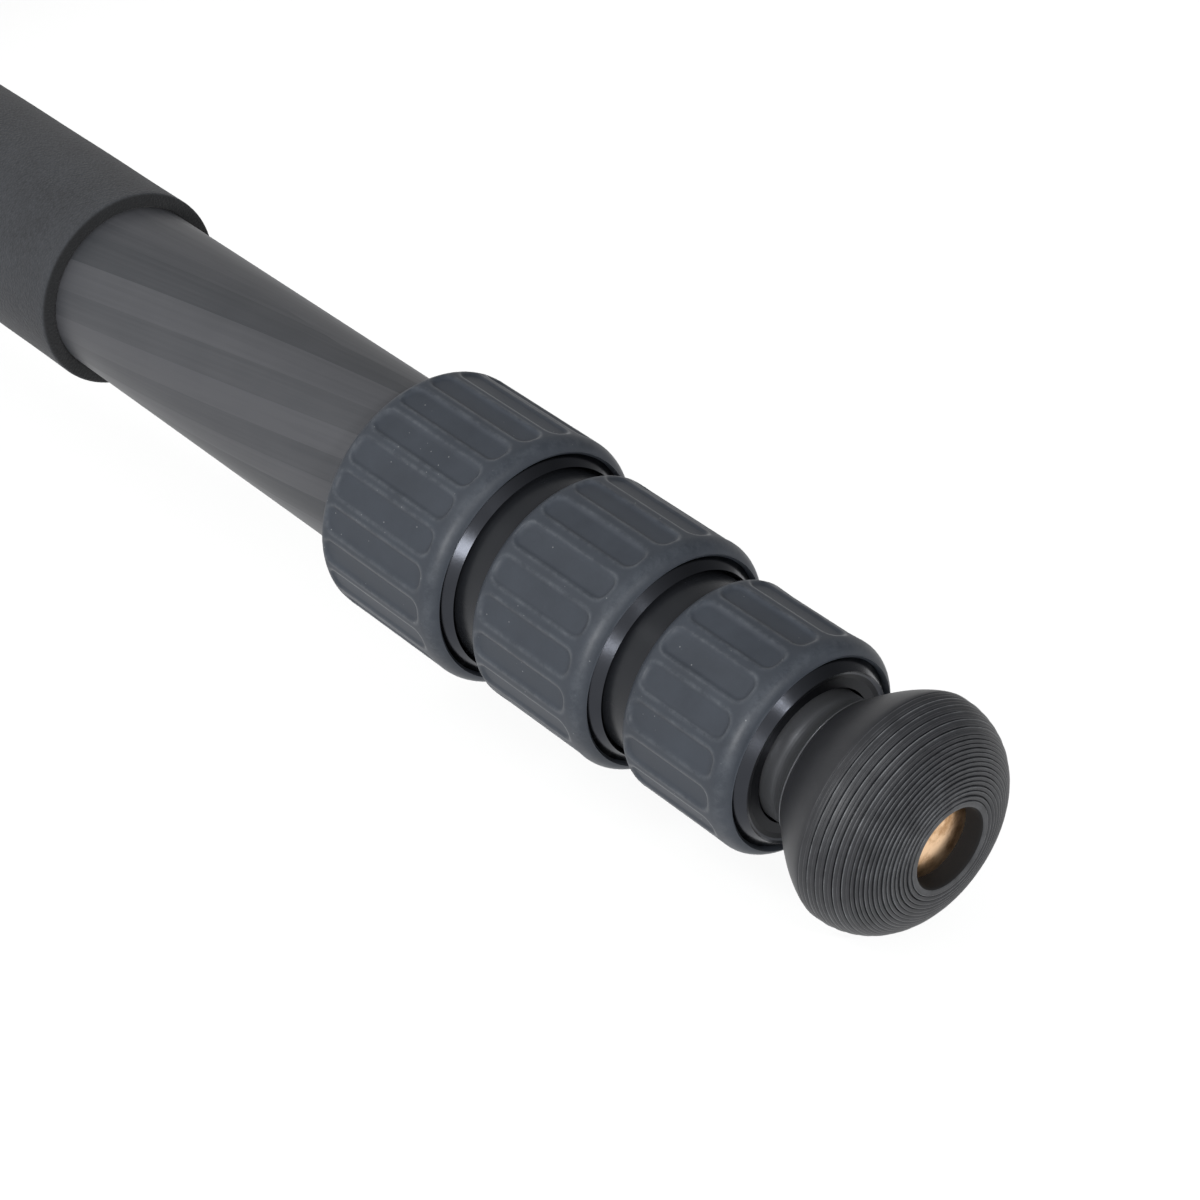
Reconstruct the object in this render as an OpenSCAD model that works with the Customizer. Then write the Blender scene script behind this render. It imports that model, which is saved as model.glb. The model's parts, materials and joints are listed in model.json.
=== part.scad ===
// Camera tripod with three four-section legs, standing low with its legs at the widest stop.
// Origin: centre of the head platform's top face. +Z is up, leg 1 runs towards -Y.

/* [Leg tubes] */
// Outer diameter of tube 1, the widest
tube_od = 32; // [30:0.5:34]
// Drop in outer diameter from each tube to the next
tube_step = 3.7; // [3.5:0.1:4.2]
// Wall of every tube
tube_wall = 1.4; // [1:0.1:1.6]
// Leg length from hinge axis to the foot's end, all sections in
leg_length = 480; // [460:5:520]
// Travel of each section
section_travel = 275; // [220:5:290]
// Length of a tube that stays in the one above it, all sections out
section_overlap = 57; // [45:1:60]
// Length of the anti-twist shims
shim_length = 18; // [12:1:22]

/* [Twist locks] */
// Length of the rubber grip on lock 1
lock_length = 29; // [27:0.5:32]
// How much shorter the grip on each next lock is
lock_shrink = 3; // [2:0.5:3.5]
// Gap between the rubber of one lock and the next, all sections in
lock_gap = 6.8; // [6:0.2:8]
// Gap between the rubber of lock 3 and the rubber of the foot
foot_gap = 6.2; // [5.5:0.1:8]
// Wall of the threaded bush on each tube end
bush_wall = 1.7; // [1.5:0.1:2]
// Wall of the twist nut
nut_wall = 2; // [1.8:0.1:2.4]
// Wall of the rubber grip
grip_wall = 2.2; // [2:0.1:2.6]
// Width of the nut's bevelled front rim
rim_width = 1.9; // [1.6:0.1:2.1]
// How far the nut's front rim stands out of the rubber
rim_reach = 1; // [0.6:0.1:1.4]

/* [Grip flutes] */
// Number of flutes on lock 1
flutes_1 = 22; // [18:1:24]
// Number of flutes on lock 2
flutes_2 = 19; // [16:1:21]
// Number of flutes on lock 3
flutes_3 = 18; // [14:1:19]
// Width of a flute at the surface
flute_width = 5; // [4.2:0.1:5.2]
// Depth of a flute
flute_depth = 0.45; // [0.3:0.05:0.9]
// Plain rubber between a flute and the front of its grip
flute_front = 3.4; // [2.5:0.1:4.5]
// Plain rubber between a flute and the back of its grip
flute_back = 1.5; // [1:0.1:2.5]

/* [Foam grip] */
// Wall of the foam sleeve on tube 1
foam_wall = 2.75; // [2:0.25:4]
// Length of the foam sleeve
foam_length = 212; // [120:0.5:220]
// Radius of the slightly rounded ends of the foam
foam_round = 0.5; // [0.25:0.25:2]

/* [Foot] */
// Largest diameter of the rubber foot
foot_od = 38.4; // [35:0.2:42]
// Height of the ribbed dome, from the widest line to the end
dome_height = 12; // [10:0.5:14]
// Length of the smooth flare behind the widest line
flare_length = 9.8; // [8:0.2:12]
// Diameter of the centre hole
foot_hole = 13.2; // [11:0.2:14]
// Depth of the centre hole down to the plug
foot_hole_depth = 3.3; // [2:0.1:4.5]
// Number of ribs on the dome
foot_ribs = 13; // [10:1:16]
// Depth of the grooves between the ribs
rib_depth = 0.5; // [0.3:0.1:0.8]

/* [Hinges] */
// Radius at which the legs are hinged, from the middle
pivot_radius = 42; // [41:0.5:46]
// Depth of the hinge axes below the head platform
pivot_drop = 28; // [27:0.5:32]
// Angle of a leg below the horizontal at its widest stop
leg_tilt = 10; // [6:1:14]
// Radius of the hinge eye
eye_radius = 12; // [11:0.5:12.5]
// Width of the leg casting's tongue
tongue_width = 26; // [24:1:28]
// Diameter of the pivot bolts
bolt_d = 8; // [6:0.5:8]
// Thickness of each lug
lug_wall = 8; // [7:0.5:9]
// Radius of the round lugs, which the stop tabs ride on
lug_radius = 15; // [14.5:0.25:15.5]
// Thickness of the washers beside the tongue
washer_wall = 0.9; // [0.6:0.1:1.2]

/* [Stop tabs] */
// Distance that a stop tab pulls out
tab_travel = 4; // [3:0.25:4.5]
// Length of a tab along its leg
tab_length = 6.5; // [5:0.5:6.5]
// Width of a tab across its leg
tab_width = 46; // [44:1:50]

/* [Hub] */
// Radius of the spider's core
core_radius = 34; // [33:0.5:36]
// Diameter of the head platform
platform_d = 66; // [60:1:70]
// Thickness of the platform's plate
platform_plate = 8; // [7:0.5:9]
// Radius of the platform's stem
stem_radius = 15; // [13:0.5:17]
// Diameter of the head stud, three eighths of an inch
stud_d = 9.525; // [6.35:3.175:9.525]
// Height of the head stud above the platform
stud_height = 9.5; // [8:0.5:11]
// Radius of the clamp knob
knob_radius = 13; // [11:0.5:15]
// Diameter of the spirit level
level_d = 15; // [12:0.5:16]
// Radius of the threaded accessory port
port_radius = 4.2; // [3:0.1:4.4]
// Wire diameter of the ballast hook
hook_wire = 4.4; // [3.6:0.2:5]
// Bend radius of the ballast hook, at the middle of its wire
hook_bend = 9; // [8:0.5:10]

/* [Hidden] */
$fn = 64;
LEG_PIECES = ["casting", "stop_tab", "tube_1", "foam_grip", "lock_nut_1", "lock_grip_1",
    "tube_2", "lock_nut_2", "lock_grip_2", "tube_3", "lock_nut_3", "lock_grip_3",
    "tube_4", "foot_collar", "foot_rubber", "foot_plug"];
HUB_PIECES = ["spider", "pivot_bolts", "pivot_washers", "head_platform", "head_stud",
    "head_set_screws", "clamp_knob", "clamp_screw", "level_housing", "level_vial", "base_cap",
    "ballast_hook"];

// Clearances: glue line, sliding round fits, threads without their ridges, flat faces
bond_gap = 0.02;
slide_gap = 0.06;
thread_gap = 0.08;
face_gap = 0.3;
eps = 0.01;
// How far a cut runs past the face that it opens
past = 1;

// Hinge
washer_gap = 0.05;
slot_half = tongue_width / 2 + washer_wall + 2 * washer_gap;
lug_out = slot_half + lug_wall;
bolt_r = bolt_d / 2;
head_rim = 3.4;
head_r = bolt_r + head_rim;
head_deep = 3.5;
head_play = 0.2;
head = head_deep - head_play;
hex_r = 2.6;
hex_deep = 2;
core_gap = 0.5;
spider_step = 2;
heel_top = pivot_drop - platform_plate - spider_step - face_gap;
heel_half = 4;
heel_root = 3;
heel_sunk = 1;
heel_floor = eye_radius - heel_sunk;
heel_gap = 0.1;
tongue_inset = 0.5;
tongue_half = eye_radius - tongue_inset;
tongue_step = 0.3;
flange_lift = 0.8;
flange_floor = eye_radius + flange_lift;
flange_root = 2;

// Stop tab, in the leg's frame: the nose rides just outside the lugs
nose_low = 3;
nose_start = sqrt(pow(lug_radius + face_gap, 2) - pow(nose_low, 2));
bridge_low = eye_radius + face_gap;
bridge_wall = 4;
tab_top = bridge_low + bridge_wall;
nose_round = 2;
tab_round = 4;
key_half = 3.8;
key_deep = 2.6;
bar_in = tongue_width / 2 + face_gap;
tab_spare = 0.5;
socket_start = nose_start + tab_length + tab_travel + tab_spare;
socket_base = 4;
socket_floor = socket_start + socket_base;

// Legs: angles about the hub, outer and inner radii of the four tubes
leg_angle = [-90, 30, 150];
gap_angle = [90, -30, 210];
tube_r = [for (n = [0:3]) (tube_od - n * tube_step) / 2];
tube_in = [for (r = tube_r) r - tube_wall];

// Locks, numbered 0 to 2: where the rubber starts and ends along the leg, and the shares of
// that length at which the tube, the thread, the fingers and the nut's web end
tube_share = 0.4;
thread_share = 0.52;
finger_share = 0.7;
bore_share = 0.76;
web_wall = 1;
nut_inset = 1;
rim_edge = 0.3;
web_gap = 0.45;
finger_drop = 0.9;
finger_wall = 1.1;
finger_slot = 1.2;
shim_inset = 2;
shim_gap = 3;
back_round = 2;
front_round = 3;
mouth_edge = 0.4;
flutes = [flutes_1, flutes_2, flutes_3];
flute_turn = [-6.1, 3, -7.4];
grip_len = [for (n = [0:2]) lock_length - n * lock_shrink];
foot_back = leg_length - dome_height - flare_length;
grip_end = [foot_back - foot_gap - grip_len[2] - lock_gap - grip_len[1] - lock_gap,
    foot_back - foot_gap - grip_len[2] - lock_gap, foot_back - foot_gap];
grip_start = [for (n = [0:2]) grip_end[n] - grip_len[n]];
bush_r = [for (n = [0:2]) tube_r[n] + bush_wall];
nut_r = [for (r = bush_r) r + thread_gap + nut_wall];
grip_r = [for (r = nut_r) r + grip_wall];
rim_r = [for (r = nut_r) r - rim_width];
tube_end = [for (n = [0:2]) grip_start[n] + grip_len[n] * tube_share];
thread_end = [for (n = [0:2]) grip_start[n] + grip_len[n] * thread_share];
finger_end = [for (n = [0:2]) grip_start[n] + grip_len[n] * finger_share];
counterbore = [for (n = [0:2]) grip_start[n] + grip_len[n] * bore_share + web_wall];

// Collar of the bush behind locks 2 and 3, which fills the rim of the nut before it, all sections in
rim_play = 0.38;
collar_sunk = 2.2;
collar_in = 0.6;
collar_back = lock_gap + collar_sunk;
bush_collar_r = [for (n = [0:2]) n == 0 ? bush_r[0] : rim_r[n - 1] - rim_play];

// Lip of nut 3 round the foot's neck, nearly flush with its rim
lip_deep = 0.6;
lip_width = 1.6;
lip_gap = 0.4;

// Foot and collar behind it
neck_step = 0.65;
neck_flare = 1.5;
neck_run = 3;
neck_gap = 0.6;
spigot = 16;
collar_r = tube_r[3] + neck_step;
collar_flare_r = collar_r + neck_flare;
collar_edge = 0.4;
collar_start = counterbore[2] + neck_gap;
foot_wide = leg_length - dome_height;
plug_wall = 5;
plug_end = leg_length - foot_hole_depth;
plug_start = plug_end - plug_wall;
stem_inset = 0.8;
stem_r = foot_hole / 2 - stem_inset;
flare_edge = 0.3;
mouth_round = 0.5;
rib_lead = 2.2;
rib_span = 84;
rib_land = 0.78;
rib_floor = 0.86;

// Tops of the tubes, and the casting's socket
tube_stagger = 2;
tube_top = [for (n = [0:3]) n == 0 ? socket_floor
    : max(socket_floor + n * tube_stagger, tube_end[n - 1] - section_travel - section_overlap)];
socket_deep = 32;
socket_end = socket_floor + socket_deep;
socket_wall = 3.5;
socket_r = tube_r[0] + socket_wall;
socket_back_round = 3;
socket_front_round = 1.5;
foam_inset = 2;
foam_start = socket_end + foam_inset;
foam_r = tube_r[0] + foam_wall;

// Hub heights, below the platform's top face
spider_top = -platform_plate - spider_step;
core_below = 17;
spider_low = -pivot_drop - core_below;
flange_reach = 6;
boss_r = 9;
stem_below = 4;
stem_low = -pivot_drop - stem_below;
cap_height = 6;
cap_rim = 5;
cap_plug = 5;
cap_round = 2;
cap_low = spider_low - cap_height;
core_bore = stem_radius - 2;

// Platform with its stud and set screws
plate_low_round = 3;
plate_top_round = 1;
set_screw_inset = 9;
set_screw_at = platform_d / 2 - set_screw_inset;
set_screw_r = 2.5;
set_screw_out = 0.8;
set_screw_sunk = 0.3;
set_hex_r = 1.4;
set_hex_deep = 3;
stud_sunk = 14;
stud_core_r = stud_d / 2 - 0.7;
stud_edge = 0.8;

// Clamp knob and its screw
boss_reach = 9;
knob_start = core_radius + boss_reach;
knob_len = 14;
knob_end = knob_start + knob_len;
knob_face = 3;
knob_back_round = 1.5;
knob_front_round = 3;
scallop_r = 5;
scallop_at = knob_radius + 3;
screw_end = knob_end - knob_face;
screw_r = 3;
groove_deep = 1.5;
groove_spare = 0.7;
groove_half = screw_r + groove_spare;
knob_rise = 6;
knob_z = -pivot_drop + knob_rise;
port_floor = core_radius - 6;

// Spirit level
level_reach = 8;
level_at = core_radius + level_reach;
level_boss_wall = 2.5;
level_boss = 12;
level_deep = 7;
level_proud = 0.6;
level_wall = 1.5;
vial_height = 5;
vial_crown = 0.8;

// Ballast hook
hook_neck = 5;
hook_low = cap_low - hook_neck;
hook_swell = 0.5;
hook_stem_r = hook_wire / 2 + hook_swell;
hook_head = 2.5;
hook_shoulder = 0.6;

// Points of an arc from angle a0 to a1, about (cx, cy)
function arc(cx, cy, r, a0, a1, n = 6) =
    [for (i = [0:n]) [cx + r * cos(a0 + (a1 - a0) * i / n), cy + r * sin(a0 + (a1 - a0) * i / n)]];

// Point on the foot's dome, t from 0 at the widest line to 90 at the hole's mouth
dome_power = 2 / 2.2;
function dome(t, inset = 0) = [
    foot_hole / 2 + (foot_od / 2 - foot_hole / 2 - inset) * pow(cos(t), dome_power),
    foot_wide + (dome_height - inset) * pow(sin(t), dome_power)];

// Hinge point of leg i, with the hub's axes: x away from the middle, z up
module at_hinge(i) {
    rotate([0, 0, leg_angle[i - 1]]) translate([pivot_radius, 0, -pivot_drop]) children();
}

// Leg i's own frame: z down the leg from its hinge axis, -x is the leg's upper side
module along_leg(i) {
    at_hinge(i) rotate([0, 90 + leg_tilt, 0]) children();
}

// Cylinder along y, centred
module rod_y(r, h) {
    rotate([90, 0, 0]) cylinder(r = r, h = h, center = true);
}

// Tube between two heights
module ring(r_out, r_in, z0, z1) {
    difference() {
        translate([0, 0, z0]) cylinder(r = r_out, h = z1 - z0);
        translate([0, 0, z0 - past]) cylinder(r = r_in, h = z1 - z0 + 2 * past);
    }
}

// Turned ring whose outer corners are rounded
module round_ring(r_out, r_in, z0, z1, round0, round1) {
    rotate_extrude() polygon(concat(
        [[r_in, z0]], arc(r_out - round0, z0 + round0, round0, -90, 0),
        arc(r_out - round1, z1 - round1, round1, 0, 90), [[r_in, z1]]));
}

// Casting that hinges the leg: eye, tongue, heel stop and tube socket
module leg_casting(i) color("#2b2c2f") {
    difference() {
        union() {
            at_hinge(i) rod_y(eye_radius, tongue_width);
            along_leg(i) translate([-tongue_half, tongue_step - tongue_width / 2, 0])
                cube([2 * tongue_half, tongue_width - 2 * tongue_step, socket_start + past]);
            at_hinge(i) translate([-heel_half, 2 * tongue_step - tongue_width / 2, heel_floor - heel_root])
                cube([2 * heel_half, tongue_width - 4 * tongue_step, heel_top - heel_floor + heel_root]);
            along_leg(i)
                round_ring(socket_r, 0, socket_start, socket_end, socket_back_round, socket_front_round);
        }
        at_hinge(i) rod_y(bolt_r + slide_gap, tongue_width + 2 * past);
        along_leg(i) translate([0, 0, socket_floor])
            cylinder(r = tube_r[0], h = socket_end - socket_floor + past);
        along_leg(i) translate([-eye_radius - past, -key_half - face_gap, nose_start - face_gap])
            cube([key_deep + face_gap + past, 2 * (key_half + face_gap), socket_start - nose_start + face_gap]);
    }
}

// Saddle that straddles the tongue and rides on the lugs, with wings to pull it by
module stop_tab(i) color("#8f9296") along_leg(i) translate([0, 0, nose_start]) {
    half = tab_width / 2;
    difference() {
        linear_extrude(tab_length) polygon(concat(
            arc(-nose_low - nose_round, half - nose_round, nose_round, 0, 90),
            arc(-tab_top + tab_round, half - tab_round, tab_round, 90, 180),
            arc(-tab_top + tab_round, tab_round - half, tab_round, 180, 270),
            arc(-nose_low - nose_round, nose_round - half, nose_round, 270, 360)));
        translate([-bridge_low, -bar_in, -past]) cube([bridge_low, 2 * bar_in, tab_length + 2 * past]);
    }
    translate([-bridge_low - eps, -key_half, 0]) cube([key_deep + eps, 2 * key_half, tab_length]);
}

// Tube n with its bonded bush below and, on inner tubes, its shims on top
module leg_tube(i, n) color("#3b3c3e") along_leg(i) {
    low = n < 3 ? tube_end[n] : collar_start;
    ring(tube_r[n], tube_in[n], tube_top[n], low);
    if (n < 3) bush(n);
    if (n > 0) shims(n);
}

// Threaded bush: bonded on the tube end, with split collet fingers round the next tube
module bush(n) {
    next_r = tube_r[n + 1] + slide_gap;
    difference() {
        union() {
            translate([0, 0, grip_start[n] + nut_inset])
                cylinder(r = bush_r[n], h = thread_end[n] - grip_start[n] - nut_inset);
            if (n > 0) translate([0, 0, grip_start[n] - collar_back])
                cylinder(r = bush_collar_r[n], h = collar_back + collar_in);
            translate([0, 0, thread_end[n] - eps]) cylinder(
                r1 = bush_r[n] - finger_drop, r2 = next_r + finger_wall, h = finger_end[n] - thread_end[n] + eps);
        }
        translate([0, 0, grip_start[n] - collar_back - past])
            cylinder(r = tube_r[n] + bond_gap, h = tube_end[n] - grip_start[n] + collar_back + past + bond_gap);
        cylinder(r = next_r, h = leg_length);
        for (k = [0:3]) rotate([0, 0, k * 45]) translate([-finger_slot / 2, -2 * tube_r[n], thread_end[n]])
            cube([finger_slot, 4 * tube_r[n], finger_end[n]]);
    }
}

// Two half-round shims on top of tube n, which run in the tube above
module shims(n) {
    z0 = tube_top[n] + shim_inset;
    difference() {
        ring(tube_in[n - 1] - slide_gap, tube_r[n] + bond_gap, z0, z0 + shim_length);
        translate([-2 * tube_r[n], -shim_gap / 2, z0 - past])
            cube([4 * tube_r[n], shim_gap, shim_length + 2 * past]);
    }
}

module foam_grip(i) color("#2c2d31") along_leg(i)
    round_ring(foam_r, tube_r[0], foam_start, foam_start + foam_length, foam_round, foam_round);

// Twist nut: threaded bore, taper that closes the fingers, counterbore, bevelled front rim
module lock_nut(i, n) color("#141517") along_leg(i) {
    z0 = grip_start[n] + nut_inset;
    z1 = grip_end[n] + rim_reach;
    bore = bush_r[n] + thread_gap;
    next_r = tube_r[n + 1] + slide_gap;
    taper0 = bush_r[n] - finger_drop + face_gap;
    taper1 = next_r + finger_wall + face_gap;
    lip_r = collar_r + lip_gap;
    lip = n < 2 ? [] : [[lip_r + lip_width, z1 - lip_deep], [lip_r, z1 - lip_deep], [lip_r, counterbore[n]]];
    plain = n < 2 ? [[rim_r[n], counterbore[n]]] : [];
    rotate_extrude() polygon(concat(
        [[bore, z0], [nut_r[n], z0], [nut_r[n], grip_end[n] - rim_reach],
         [rim_r[n] + rim_edge, z1], [rim_r[n], z1 - rim_edge]], lip, plain,
        [[tube_r[n + 1] + web_gap, counterbore[n]], [tube_r[n + 1] + web_gap, finger_end[n] + face_gap],
         [taper1, finger_end[n] + face_gap], [taper0, thread_end[n] + face_gap],
         [bore, thread_end[n] + face_gap]]));
}

// Rubber grip with rounded shoulders and round-ended flutes
module lock_grip(i, n) color("#34373d") along_leg(i) rotate([0, 0, flute_turn[n]]) {
    flute_r = (pow(flute_width, 2) / 4 + pow(flute_depth, 2)) / (2 * flute_depth);
    flute_bow = asin(flute_width / 2 / flute_r) + 14;
    flute_cap = flute_r * sin(flute_bow);
    flute_z0 = grip_start[n] + flute_back + flute_width / 2;
    flute_z1 = grip_end[n] - flute_front - flute_width / 2;
    difference() {
        rotate_extrude() polygon(concat(
            [[nut_r[n], grip_start[n]]],
            arc(grip_r[n] - back_round, grip_start[n] + back_round, back_round, -90, 0),
            arc(grip_r[n] - front_round, grip_end[n] - front_round, front_round, 0, 66),
            [[nut_r[n] + mouth_edge, grip_end[n]], [nut_r[n], grip_end[n] - mouth_edge]]));
        for (k = [0:flutes[n] - 1]) rotate([0, 0, (k + 0.5) * 360 / flutes[n]])
            translate([grip_r[n] - flute_depth + flute_r, 0, 0]) rotate_extrude() polygon(concat(
                [[0, flute_z0 - flute_cap]], arc(0, flute_z0, flute_r, -flute_bow, 0, 2),
                arc(0, flute_z1, flute_r, 0, flute_bow, 2), [[0, flute_z1 + flute_cap]]));
    }
}

// Metal end fitting: spigot in tube 4, flared collar, stem into the rubber
module foot_collar(i) color("#5a5c60") along_leg(i)
    rotate_extrude() polygon(concat(
        [[0, collar_start - spigot], [tube_in[3], collar_start - spigot], [tube_in[3], collar_start],
         [collar_r, collar_start]],
        [for (k = [0:6])
            [collar_r + neck_flare * pow(k / 6, 2), foot_back - collar_edge - neck_run * (1 - k / 6)]],
        [[collar_flare_r - collar_edge, foot_back], [stem_r, foot_back], [stem_r, plug_start], [0, plug_start]]));

// Rubber foot: smooth flare, then a dome of stepped ribs round the centre hole
module foot_rubber(i) color("#26272a") along_leg(i) {
    flare = [for (k = [0:8]) let (t = k / 8) [collar_flare_r + flare_edge
        + (foot_od / 2 - collar_flare_r - flare_edge) * (t + sin(90 * t)) / 2, foot_back + flare_length * t]];
    step = rib_span / foot_ribs;
    ribs = [for (k = [0:foot_ribs - 1]) each [dome(k == 0 ? 0 : rib_lead + k * step),
        dome(rib_lead + (k + rib_land) * step), dome(rib_lead + (k + rib_floor) * step, rib_depth)]];
    rotate_extrude() polygon(concat(
        [[stem_r, foot_back]], flare, ribs,
        [[foot_hole / 2 + mouth_round, leg_length], [foot_hole / 2, leg_length - mouth_round],
         [foot_hole / 2, plug_start], [stem_r, plug_start]]));
}

module foot_plug(i) color("#a8764a") along_leg(i)
    translate([0, 0, plug_start]) cylinder(r = foot_hole / 2, h = plug_end - plug_start);

// Hub casting: core, three pairs of lugs, bosses between the legs
module spider() color("#2b2c2f") {
    difference() {
        union() {
            translate([0, 0, spider_low]) cylinder(r = core_radius, h = spider_top - spider_low);
            translate([0, 0, -pivot_drop + flange_floor - flange_root]) cylinder(r1 = core_radius,
                r2 = core_radius + flange_reach, h = spider_top + pivot_drop - flange_floor + flange_root);
            for (i = [1:3]) at_hinge(i) {
                rod_y(lug_radius, 2 * lug_out);
                translate([-pivot_radius / 2, -lug_out, -lug_radius])
                    cube([pivot_radius / 2, 2 * lug_out, 2 * lug_radius]);
            }
            along_knob() cylinder(r = boss_r, h = knob_start - past);
            along_port() cylinder(r = boss_r, h = knob_start - past);
            at_level(level_boss) cylinder(r = level_d / 2 + level_boss_wall, h = level_boss);
        }
        for (i = [1:3]) at_hinge(i) {
            translate([-eye_radius - core_gap, -slot_half, -2 * lug_radius])
                cube([pivot_radius * 2, 2 * slot_half, lug_radius * 2 + flange_floor]);
            translate([-heel_half - heel_gap, -slot_half, 0])
                cube([pivot_radius * 2, 2 * slot_half, pivot_drop + past]);
            rod_y(bolt_r, 3 * lug_out);
            for (s = [-1, 1]) translate([0, s * (lug_out - head_deep / 2 + past), 0])
                rod_y(head_r + head_play, head_deep + 2 * past);
        }
        translate([0, 0, stem_low]) cylinder(r = stem_radius + slide_gap, h = 2 * pivot_drop);
        translate([0, 0, spider_low - past]) cylinder(r = core_bore, h = 2 * pivot_drop);
        along_knob() cylinder(r = screw_r + slide_gap, h = knob_end);
        at_level(level_deep) cylinder(r = level_d / 2, h = level_deep + past);
        along_port() translate([0, 0, port_floor]) cylinder(r = port_radius, h = knob_start);
    }
}

// Frames of the accessory port, z out of the hub, and of a recess of some depth for the level
module along_port() {
    rotate([0, 0, gap_angle[2]]) translate([0, 0, -pivot_drop]) rotate([0, 90, 0]) children();
}

module at_level(deep) {
    rotate([0, 0, gap_angle[1]]) translate([level_at, 0, spider_top - deep]) children();
}

// Bolts and cap nuts of the three hinges, sunk in the lugs, each with a hex socket
module pivot_bolts() color("#b9bbbe") for (i = [1:3]) at_hinge(i) {
    for (s = [-1, 1]) difference() {
        translate([0, s * (lug_out - head_deep + head / 2), 0]) rod_y(head_r, head);
        translate([0, s * lug_out, 0]) rotate([90, 0, 0])
            cylinder(r = hex_r, h = 2 * hex_deep, center = true, $fn = 6);
    }
    translate([0, -bond_gap, 0]) rod_y(bolt_r, 2 * (lug_out - head_deep));
}

module pivot_washers() color("#d8d6cf") for (i = [1:3]) at_hinge(i) for (s = [-1, 1])
    translate([0, s * (tongue_width / 2 + washer_gap + washer_wall / 2), 0]) difference() {
        rod_y(2 * bolt_r, washer_wall);
        rod_y(bolt_r + slide_gap, 2 * washer_wall);
    }

// Plate that a head stands on, with the stem that the spider clamps
module head_platform() color("#2b2c2f") difference() {
    rotate_extrude() polygon(concat(
        [[0, stem_low + face_gap], [stem_radius - plate_top_round, stem_low + face_gap],
         [stem_radius, stem_low + face_gap + plate_top_round],
         [stem_radius, knob_z - groove_half - groove_deep],
         [stem_radius - groove_deep, knob_z - groove_half], [stem_radius - groove_deep, knob_z + groove_half],
         [stem_radius, knob_z + groove_half + groove_deep], [stem_radius, -platform_plate]],
        arc(platform_d / 2 - plate_low_round, -platform_plate + plate_low_round, plate_low_round, -90, 0),
        arc(platform_d / 2 - plate_top_round, -plate_top_round, plate_top_round, 0, 90), [[0, 0]]));
    translate([0, 0, -stud_sunk]) cylinder(r = stud_core_r, h = stud_sunk + past);
    translate([0, 0, -past]) cylinder(r = stud_d / 2 + face_gap, h = 2 * past);
    for (k = [0:2]) rotate([0, 0, 120 * k]) translate([set_screw_at, 0, -platform_plate - past])
        cylinder(r = set_screw_r, h = platform_plate + 2 * past);
}

// Stud that screws into a head, thinner where it sits in the platform
module head_stud() color("#c9cacc") {
    translate([0, 0, -stud_sunk]) cylinder(r = stud_core_r, h = stud_sunk + eps);
    cylinder(r = stud_d / 2, h = stud_height - stud_edge);
    translate([0, 0, stud_height - stud_edge])
        cylinder(r1 = stud_d / 2, r2 = stud_d / 2 - stud_edge, h = stud_edge);
}

// Screws that are turned up against a head so that it can't unscrew
module head_set_screws() color("#3a3b3d") for (k = [0:2])
    rotate([0, 0, 120 * k]) translate([set_screw_at, 0, -platform_plate - set_screw_out]) difference() {
        cylinder(r = set_screw_r, h = platform_plate + set_screw_out - set_screw_sunk);
        translate([0, 0, -past]) cylinder(r = set_hex_r, h = set_hex_deep + past, $fn = 6);
    }

// Clamp knob's own frame: z away from the middle, along the screw
module along_knob() {
    rotate([0, 0, gap_angle[0]]) translate([0, 0, knob_z]) rotate([0, 90, 0]) children();
}

module clamp_knob() color("#26272a") along_knob() difference() {
    rotate_extrude() polygon(concat(
        [[screw_r, knob_start]],
        arc(knob_radius - knob_back_round, knob_start + knob_back_round, knob_back_round, -90, 0),
        arc(knob_radius - knob_front_round, knob_end - knob_front_round, knob_front_round, 0, 90),
        [[0, knob_end], [0, screw_end], [screw_r, screw_end]]));
    for (k = [0:5]) rotate([0, 0, 60 * k]) translate([scallop_at, 0, knob_start - past])
        cylinder(r = scallop_r, h = knob_len + 2 * past);
}

module clamp_screw() color("#c9cacc") along_knob()
    translate([0, 0, stem_radius - groove_deep + face_gap])
        cylinder(r = screw_r, h = screw_end - stem_radius + groove_deep - face_gap);

module level_housing() color("#1d1e20") at_level(level_deep) difference() {
    cylinder(r = level_d / 2, h = level_deep + level_proud);
    translate([0, 0, level_wall]) cylinder(r = level_d / 2 - level_wall, h = level_deep + past);
}

module level_vial() color("#b7d36a") at_level(level_deep - level_wall) {
    vial_r = level_d / 2 - level_wall;
    rotate_extrude() polygon(concat([[0, 0], [vial_r, 0], [vial_r, vial_height]],
        [for (k = [1:5]) [vial_r * (1 - k / 5), vial_height + vial_crown * sin(18 * k)]]));
}

// Cover under the spider, with the bearing of the hook
module base_cap() color("#1d1e20") difference() {
    cap_r = stem_radius + cap_rim;
    rotate_extrude() polygon(concat([[0, cap_low]],
        arc(cap_r - cap_round, cap_low + cap_round, cap_round, -90, 0), [[cap_r, spider_low],
        [core_bore, spider_low], [core_bore, spider_low + cap_plug], [0, spider_low + cap_plug]]));
    translate([0, 0, cap_low - past])
        cylinder(r = hook_stem_r + slide_gap, h = cap_height + cap_plug + 2 * past);
}

// Open hook on a stem that turns in the base cap
module ballast_hook() color("#8f9296") {
    head_low = spider_low + cap_plug + face_gap;
    translate([0, 0, hook_low]) cylinder(r = hook_stem_r, h = head_low + face_gap - hook_low);
    translate([0, 0, head_low]) cylinder(r = hook_stem_r + hook_head, h = hook_head);
    translate([0, 0, hook_low - hook_bend]) rotate([90, 0, 0]) {
        rotate([0, 0, 90]) rotate_extrude(angle = 275) translate([hook_bend, 0]) circle(r = hook_wire / 2);
        rotate([0, 0, 5]) translate([hook_bend, 0, 0]) sphere(r = hook_wire / 2 + hook_swell);
    }
    translate([0, 0, hook_low]) sphere(r = hook_stem_r + hook_shoulder);
}

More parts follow.
